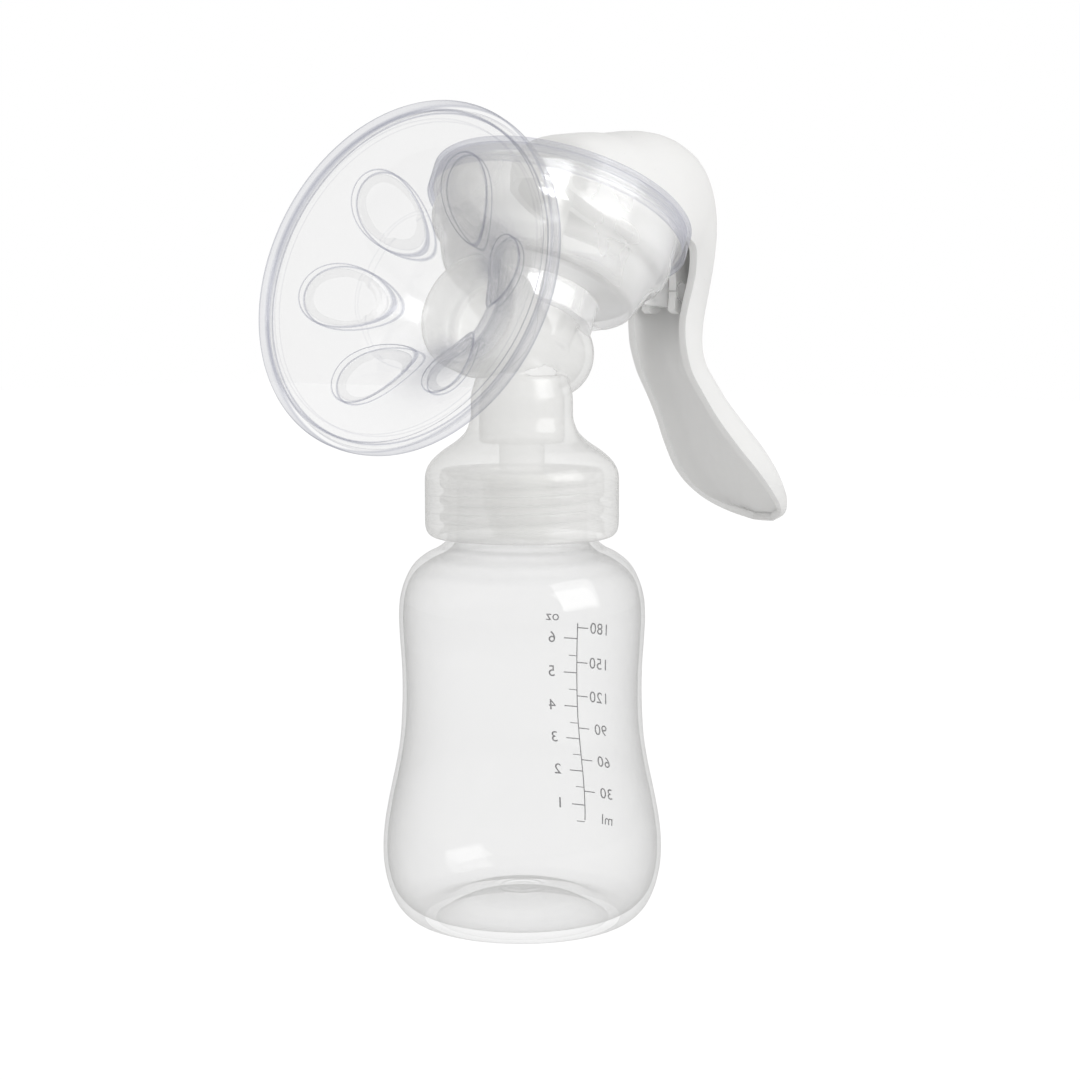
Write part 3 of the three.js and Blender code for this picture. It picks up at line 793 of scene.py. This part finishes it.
CUSHION_FRONT = [
    (36.5, 45.15), (35.9, 45.25), (33.6, 44.8), (29.8, 43.6), (26, 41.9), (22.2, 39.6), (19.6, 37.5),
    (18.6, 36.65),
]
CUSHION_STEP = [(18.4, 36.3), (18.0, 35.95)]  # the faint ring through the petals' inner ends
CUSHION_THROAT = [
    (17.6, 35.75), (15.6, 33.6), (12.9, 30.3), (11.0, 27.0), (9.9, 24.6), (9.2, 22.4), (8.6, 19.4), (8.5, 17),
]
PETALS = 6
PETAL_TURN = -23.0  # of the first petal round the horn, in degrees
PETAL_R = 21.2  # middle of a petal, from the horn axis
PETAL_HALF = 7.3  # half its width
PETAL_REACH = 8.3  # half its length, seen along the horn axis
PETAL_HEIGHT = 1.15
PETAL_WALL = 0.9
HOLLOW_HEIGHT = 1.2  # the hollow behind each petal
HOLLOW_SINK = -0.65


FRONT_LINE = np.array(sorted(spline(CUSHION_FRONT) + CUSHION_STEP + spline(CUSHION_THROAT)))


def front_at(radius):
    """Height along the horn, and slope, of the cushion's front at a radius."""
    step = 0.8
    heights = np.interp([radius - step, radius, radius + step], FRONT_LINE[:, 0], FRONT_LINE[:, 1])
    return heights[1], (heights[2] - heights[0]) / (2 * step)


def petal(name, half, reach, height, turn, lift, flat=0.8):
    """A steep-sided oval pad that follows the curved front of the cushion."""
    rows = [(math.sin(a) ** flat, -math.copysign(abs(math.cos(a)) ** flat, math.cos(a)))
            for a in np.radians(np.arange(0, 181, 5))]
    rows[0] = (0, -1)
    rows[-1] = (0, 1)
    pad = turned(name, rows, Matrix.Identity(4), segments=72)
    for vertex in pad.data.vertices:
        side, out, up = vertex.co.x * half, PETAL_R + vertex.co.y * reach, vertex.co.z * height + lift
        radius = math.hypot(side, out)
        along, slope = front_at(radius)
        steep = math.hypot(1, slope)
        radius -= up * slope / steep
        angle = math.atan2(side, out) - math.radians(turn)
        vertex.co = IN_HORN @ Vector((radius * math.sin(angle), radius * math.cos(angle), along + up / steep))
    return weld(pad)


def massage_cushion(paint):
    rim = rounded([
        (37.9, 43.75), (38.0, 42.1), (38.8, 42.1), (39.1, 43.6), (39.1, 45.4), (38.4, 46.5), (37.5, 46.6),
        (36.9, 46.0), (36.7, 45.1)], 0.5)[5:-5]
    back = spline([
        (9.7, 17), (9.7, 19), (10.5, 22.5), (12.2, 26.4), (16.7, 32.5), (23.1, 38.3), (30.4, 42.2),
        (36.1, 43.75), (37.6, 43.8)])
    end = [(8.7, 14.1), (9.5, 14.1), (9.7, 14.4)]
    made = turned("cushion_lining", back + rim + spline(CUSHION_FRONT) + CUSHION_STEP
                  + spline(CUSHION_THROAT) + [(8.5, 14.4)] + end, IN_HORN, segments=240)
    for i in range(PETALS):
        turn = PETAL_TURN + 360 / PETALS * i
        pad = petal("pad", PETAL_HALF, PETAL_REACH, PETAL_HEIGHT, turn, 0.0)
        cut(made, pad, "UNION")
        hollow = petal("hollow", PETAL_HALF - PETAL_WALL, PETAL_REACH - PETAL_WALL, HOLLOW_HEIGHT, turn,
                       HOLLOW_SINK)
        cut(made, hollow)
    spots = made.data.attributes.new(HORN_SPOT, "FLOAT_VECTOR", "POINT")
    back_to_horn = IN_HORN.inverted()
    spots.data.foreach_set("vector", [n for v in made.data.vertices for n in back_to_horn @ v.co])
    repaint(made, paint)
    return settle(shade(made, 22), "cushion", "clear_silicone", "massage_cushion")


# ---- vacuum cup -----------------------------------------------------------------------------
def vacuum_cup(paint):
    outside = rounded([(11.7, 6.6), (14.6, 6.6), (14.6, 12.9), (20.4, 13.3)], 0.5)[3:-3]
    outside += spline([
        (20.6, 13.35), (22.1, 13.9), (23.2, 15.4), (24.5, 18.4), (25.8, 21.2), (27.5, 22.8), (28.3, 24.6),
        (28.4, 28), (28.5, 32.6)])
    lip = [(28.4, 33.1), (28.1, 33.3), (27.1, 33.3), (26.8, 33.1)]
    inside = spline([
        (26.7, 32.6), (26.6, 28), (26.4, 25.4), (25.6, 24.0), (24.2, 22.4), (22.9, 18.6), (21.7, 16.3),
        (20.4, 15.4)])
    bottom = [(13.4, 15.3), (13.3, 15.6), (13.3, 17.2), (13.1, 17.4), (11.9, 17.4), (11.7, 17.2), (11.7, 7.0)]
    cup = turned("vacuum_cup_shell", outside + lip + inside + bottom, IN_CUP)
    gap = 0.4
    saddle = turned("saddle", [
        (0, -24), (TUBE_R + gap, -24), (TUBE_R + gap, 9.8), (SOCKET_R + gap, 12.3), (SOCKET_R + gap, 30),
        (0, 30)], IN_HORN)
    cut(cup, saddle)
    y, z = PIVOT
    low, high, bend = cup_point(27.4, 24.5), cup_point(27.4, 29.6), cup_point(33.4, 29.4)
    outline = rounded([low, (y - 1.2, z - 4.2), (y + 2.4, z - 3.4), (y + 4, z), (y + 2.6, z + 3.2),
                       (y - 1.6, z + 3.8), bend, high], 2.4, 6)
    arm = plate("arm", outline, 2.5)
    modified(arm, "BEVEL", width=0.5 * MM, segments=3, angle_limit=math.radians(50))
    cut(cup, arm, "UNION")
    cut(cup, tube_rod("pin", 2.4, -5.3, 5.3, across(y, z)), "UNION")
    repaint(cup, paint)
    return settle(shade(cup, 35), "pump_head", "milky_pp", "vacuum_cup")


def cup_seal(paint):
    middle, along, cord = 10.7, 15, 0.9
    circle = [(middle + cord * math.cos(a), along + cord * math.sin(a))
              for a in np.radians(np.arange(0, 360, 20))]
    made = turned("cup_seal_ring", circle, IN_CUP, paint)
    return settle(made, "pump_head", "milky_silicone", "cup_seal")


# ---- diaphragm, clamp ring and rod ----------------------------------------------------------
def diaphragm(paint):
    outline = rounded([
        (2.4, 19.6), (4.6, 19.6), (5.4, 19.2), (6.2, 19.6), (22.0, 19.6), (23.1, 20.7), (23.5, 24.6),
        (23.8, 25.2), (23.75, 27), (24.3, 32.4), (24.6, 33.6), (28.8, 33.6), (28.8, 31), (29.8, 31),
        (29.8, 35), (24, 35), (23.1, 34.2), (22.6, 28.6), (22.2, 25.2), (21.9, 21.5), (21.2, 20.9),
        (2.4, 20.9)], 0.5)
    made = turned("diaphragm_bowl", outline, IN_CUP, paint)
    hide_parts("diaphragm")
    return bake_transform(made)


def clamp_ring(paint):
    out, depth = 31.0, 0.25
    wall = [(out, 30.4)]
    for groove in (31.2, 32.9, 34.5):
        wall += [(out, groove), (out - depth, groove + depth), (out - depth, groove + 0.55),
                 (out, groove + 0.8)]
    outline = rounded([(30.1, 30.2), (30.8, 30.2), *wall, (out, 35.9), (30.6, 36.3), (26.2, 36.3),
                       (26, 36.1), (26, 35.3), (30.1, 35.3)], 0.12, 3)
    return settle(turned("clamp_ring_band", outline, IN_CUP, paint), "pump_head", "clear_pp", "clamp_ring")


def diaphragm_rod(paint):
    shaft = rounded([
        (0, 15.8), (3.2, 15.8), (2.8, 17.2), (2, 17.3), (2, 21.2), (8, 21.2), (8, 22.4), (3.6, 24.4),
        (2.3, 27), (2.1, BAR_Z), (0, BAR_Z)], 0.35)
    made = turned("diaphragm_rod_shaft", shaft, IN_CUP, segments=SMALL)
    cut(made, tube_rod("bar", 2.3, -6.5, 6.5, across(*cup_point(0, BAR_Z))), "UNION")
    repaint(made, paint)
    return settle(shade(made), "rod", "white_pp", "diaphragm_rod")


def rod_retainer(paint):
    outline = rounded([(2.4, 17.6), (7.4, 17.6), (8, 18.2), (8, 19.3), (2.4, 19.3)], 0.3)
    made = turned("rod_retainer_disc", outline, IN_CUP, paint, SMALL)
    return settle(made, "rod", "white_pp", "rod_retainer")


# ---- handle -------------------------------------------------------------------------------
# Each station: crown y, crown z, lip y, lip z, half width.
STATIONS = [
    (8.6, 177.0, 9.4, 171.6, 8.5), (11.6, 180.4, 12.4, 169.9, 12.6), (20, 182.4, 20.6, 166.8, 16),
    (31, 183.0, 30, 163.2, 17.4), (43, 184.4, 38.5, 160.4, 17.4), (54.5, 183.2, 46, 158.4, 16.2),
    (64.5, 179.4, 51.5, 156.6, 14.4), (71.3, 173.2, 55, 154.0, 12.5), (74.8, 165, 57, 150.6, 11),
    (75.2, 156, 57.5, 146.6, 9.8), (73.6, 147, 57, 142.4, 8.9), (71.3, 139, 56.3, 137.6, 8.5),
    (70.6, 133.0, 57, 132.4, 8.4), (72.2, 128.6, 59.6, 126.6, 8.3), (75.9, 124.6, 64.4, 121.0, 8.6),
    (81.4, 119.2, 70.4, 114.4, 9.4), (88.6, 112.8, 77.6, 106.9, 11.2), (97.0, 105.4, 86, 99.4, 12.9),
    (104.4, 98, 93.6, 93.8, 12.6), (109.8, 91.4, 101, 89.4, 10.6), (112.3, 86.6, 106.8, 86.4, 7),
    (111.8, 84.4, 109.6, 84.8, 3),
]
HANDLE_WALL = 1.9
HALF_ARC = 24  # steps from one lip over the crown to the other
SECTION_POWER = 2 / 2.7


def section(station, inset=0.0):
    """One U-shaped section of the handle, from lip over the crown to lip."""
    crown_y, crown_z, lip_y, lip_z, width = station
    depth = math.hypot(crown_y - lip_y, crown_z - lip_z)
    up = ((crown_y - lip_y) / depth, (crown_z - lip_z) / depth)
    ring = []
    for i in range(HALF_ARC + 1):
        angle = i / HALF_ARC * math.pi
        c = math.cos(angle)
        x = (width - inset) * math.copysign(abs(c) ** SECTION_POWER, c)
        d = (depth - inset) * max(0.0, math.sin(angle)) ** SECTION_POWER
        ring.append((x, lip_y + d * up[0], lip_z + d * up[1]))
    return ring


def handle(paint):
    stations = spline(STATIONS, 5)
    made = grid_loft("handle_shell", [section(s) for s in stations], None, closed=False)
    cap_ends(made)
    modified(made, "SOLIDIFY", thickness=HANDLE_WALL * MM, offset=-1, use_even_offset=True, use_rim=True)
    modified(made, "BEVEL", width=0.45 * MM, segments=3, limit_method="ANGLE", angle_limit=math.radians(50))
    repaint(made, paint)
    return settle(shade(made, 40), "handle", "white_gloss", "handle")


def cap_ends(made):
    """Closes the front of the hood and the tip of the lever with a fan of faces."""
    work = bmesh.new()
    work.from_mesh(made.data)
    work.verts.ensure_lookup_table()
    count = HALF_ARC + 1
    rows = len(work.verts) // count
    for first, flip in ((0, False), ((rows - 1) * count, True)):
        loop = [work.verts[first + j] for j in range(count)]
        work.faces.new(loop if flip else list(reversed(loop)))
    bmesh.ops.recalc_face_normals(work, faces=work.faces)
    work.to_mesh(made.data)
    work.free()


def handle_ribs(paint):
    """Two upright webs inside the hood, which hold the pivot and the rod's cross bar."""
    web = [(13, 180), (13, 169.6), (20.6, 166.6), (30, 163), (38.5, 160.2), (46, 158.2), (51.5, 156.4),
           (53.5, 150), (55.2, 143), (58, 140.4), (62, 140.6), (65.4, 144), (70, 150), (74.5, 160),
           (73, 170), (64, 178.6), (50, 183)]
    outside, inside = 4.9, 2.9
    made = plate("handle_ribs", rounded(web, 1.5), outside)
    cut(made, plate("gap", [(0, 120), (100, 120), (100, 200), (0, 200)], inside))
    cut(made, tube_rod("hole", 2.53, -8, 8, across(*PIVOT)))
    y, z = cup_point(0, BAR_Z)
    lean = math.radians(BAR_LEAN)
    half = 2.6
    along = (math.cos(lean), -math.sin(lean))
    side = (math.sin(lean), math.cos(lean))
    corners = [(y + a * along[0] + b * side[0], z + a * along[1] + b * side[1])
               for a, b in ((0, -half), (0, half), (-14, half), (-14, -half))]
    cut(made, plate("slot", corners, 8))
    cut(made, tube_rod("slot", half, -8, 8, across(y, z)))
    rings = []
    for station in spline(STATIONS[1:-1], 4):
        _, _, lip_y, lip_z, width = station
        rings.append(section(station, HANDLE_WALL / 2) + [(x * width, lip_y, lip_z) for x in (-0.9, 0.9)])
    cut(made, grid_loft("inner", rings, None), "INTERSECT")
    repaint(made, paint)
    return settle(shade(made, 40), "handle", "white_gloss")


# ---- everything -----------------------------------------------------------------------------
make_camera()
make_studio()
make_floor(floor_paint())

# bottle_clear, silicone_clear and milky_plastic take painted shade lines: rings at the bottle's shoulder,
# edges round the cushion's petals and rim, and the collar's thread.
bottle_clear = see_through("bottle_clear", (0.966, 0.966, 0.966), (0.84, 0.84, 0.84), (0.84, 0.84, 0.84),
                           0.02, 0.12, 0.08, narrow=2.3, lines=bottle_lines)
horn_clear = see_through("horn_clear", (0.992, 0.992, 0.992), (0.87, 0.875, 0.89), (0.85, 0.85, 0.86),
                         0.008, 0.08, 0.10, narrow=5.0)
silicone_clear = see_through("silicone_clear", (0.978, 0.978, 0.978), (0.58, 0.59, 0.65),
                             (0.84, 0.84, 0.88), 0.015, 0.12, 0.10, gloss=1.41, narrow=4.8,
                             lines=cushion_lines)
milky = see_through("milky_plastic", (0.980, 0.980, 0.977), (0.76, 0.76, 0.755), (0.92, 0.92, 0.915),
                    0.34, 0.25, 0.16, narrow=2.0, lines=collar_lines)
cup_milky = see_through("cup_plastic", (0.985, 0.985, 0.985), (0.80, 0.80, 0.81), (0.92, 0.92, 0.92),
                        0.26, 0.30, 0.12, narrow=1.8)
milky_soft = see_through("milky_silicone", (0.985, 0.985, 0.98), (0.88, 0.88, 0.88), (0.92, 0.92, 0.91),
                         0.12, 0.25, 0.14, gloss=1.41, narrow=2.0)
ring_clear = see_through("ring_clear", (0.96, 0.962, 0.97), (0.60, 0.61, 0.72), (0.80, 0.805, 0.83),
                         0.08, 0.25, 0.10, narrow=2.4)
white_gloss = opaque("white_gloss", (0.87, 0.87, 0.865), 0.30, 0.35, 0.15)
white_satin = opaque("white_satin", (0.86, 0.86, 0.855), 0.42, 0.1)
ink = opaque("grey_ink", (0.21, 0.21, 0.22), 0.6, 0.0, relief=0.00001)

bottle(bottle_clear)
printed_scale(ink)
pump_body(milky)
bottle_gasket(milky_soft)
duckbill_valve(milky_soft)
horn(horn_clear)
massage_cushion(silicone_clear)
cup = vacuum_cup(cup_milky)
cup_seal(milky_soft)
bowl = diaphragm(milky_soft)
shine_on(cup, bowl)
clamp_ring(ring_clear)
diaphragm_rod(white_satin)
rod_retainer(white_satin)
handle(white_gloss)
handle_ribs(white_gloss)
